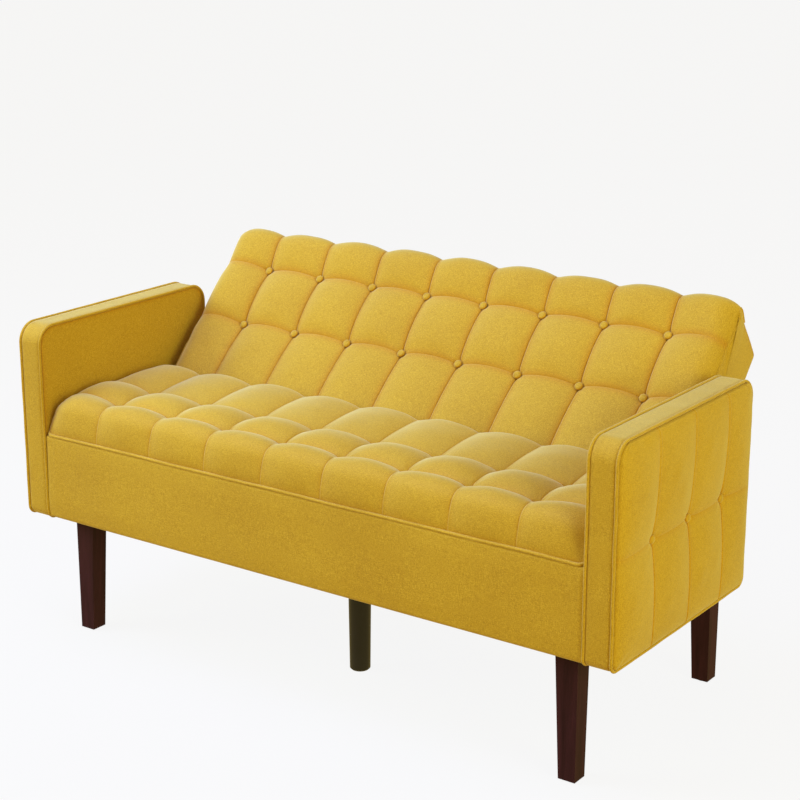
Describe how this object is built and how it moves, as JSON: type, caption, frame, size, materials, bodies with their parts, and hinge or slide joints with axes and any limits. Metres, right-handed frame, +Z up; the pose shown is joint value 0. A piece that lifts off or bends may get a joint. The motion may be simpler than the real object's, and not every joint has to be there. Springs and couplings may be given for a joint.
{
  "type": "sofa",
  "caption": "Small box-arm sofa with a tufted seat and a tufted back that reclines flat on ratchet hinges, on tapered wooden legs and a centre support leg.",
  "frame": {"origin": "on the floor, under the middle of the sofa's overall box at rest", "axes": "+Z up, the sofa faces -Y, +X runs from arm to arm towards the viewer's right when facing the sofa"},
  "size_m": [1.37, 0.6686, 0.751],
  "materials": {
    "cloth": "mustard yellow linen-look weave, matt",
    "dark_wood": "dark mahogany stain, satin lacquer",
    "black_plastic": "moulded black plastic, satin",
    "glide_plastic": "black nylon glide",
    "pine": "sawn pine",
    "ply": "plain ply",
    "zinc_steel": "zinc plated steel",
    "black_steel": "black powder coat",
    "felt": "grey needle felt",
    "webbing": "black elastic webbing",
    "lining": "black non-woven lining"
  },
  "bodies": {
    "base": {"front_rail": "pine", "rear_rail": "pine", "side_rail_left": "pine", "side_rail_right": "pine", "spring_rail": "pine", "centre_rail": "pine", "corner_blocks": "pine", "seat_springs": "zinc_steel", "spring_clips": "zinc_steel", "insulator_pad": "felt", "seat_cushion": "cloth", "seat_front_cover": "cloth", "seat_welt": "cloth", "seat_buttons": "cloth", "rear_deck": "cloth", "base_rear_cover": "cloth", "dust_cover": "lining", "arm_frame_left": "pine", "arm_boards_left": "ply", "arm_inner_panel_left": "cloth", "arm_outer_panel_left": "cloth", "arm_band_left": "cloth", "arm_welts_left": "cloth", "arm_buttons_left": "cloth", "arm_bolts_left": "zinc_steel", "arm_frame_right": "pine", "arm_boards_right": "ply", "arm_inner_panel_right": "cloth", "arm_outer_panel_right": "cloth", "arm_band_right": "cloth", "arm_welts_right": "cloth", "arm_buttons_right": "cloth", "arm_bolts_right": "zinc_steel", "leg_front_left": "dark_wood", "leg_front_right": "dark_wood", "leg_rear_left": "dark_wood", "leg_rear_right": "dark_wood", "centre_leg": "black_plastic", "leg_plates": "black_steel", "leg_bolts": "zinc_steel", "leg_glides": "glide_plastic", "hinge_bracket_left": "black_steel", "hinge_bracket_right": "black_steel", "hinge_pins": "zinc_steel", "hinge_bolts": "zinc_steel"},
    "back": {"back_top_rail": "pine", "back_bottom_rail": "pine", "back_stiles": "pine", "back_webbing": "webbing", "back_cushion": "cloth", "back_band": "cloth", "back_rear_panel": "cloth", "back_buttons": "cloth", "hinge_arm_left": "zinc_steel", "hinge_arm_right": "zinc_steel", "hinge_screws": "zinc_steel", "pawl_pins": "zinc_steel", "pawl_springs": "zinc_steel"},
    "pawl_left": {"pawl_left": "black_steel"},
    "pawl_right": {"pawl_right": "black_steel"}
  },
  "joints": [
    {"name": "back_recline", "type": "hinge", "parent": "base", "child": "back", "pos_m": [0, 0.05268, 0.46], "axis": [-1, 0, 0], "range_deg": [-33.5, 48.5]},
    {"name": "pawl_left_release", "type": "hinge", "parent": "back", "child": "pawl_left", "pos_m": [-0.597, 0.12153, 0.49255], "axis": [1, 0, 0], "range_deg": [0, 12], "stiffness_Nm_per_rad": 0.4, "springref_deg": -17.19},
    {"name": "pawl_right_release", "type": "hinge", "parent": "back", "child": "pawl_right", "pos_m": [0.597, 0.12153, 0.49255], "axis": [1, 0, 0], "range_deg": [0, 12], "stiffness_Nm_per_rad": 0.4, "springref_deg": -17.19}
  ]
}
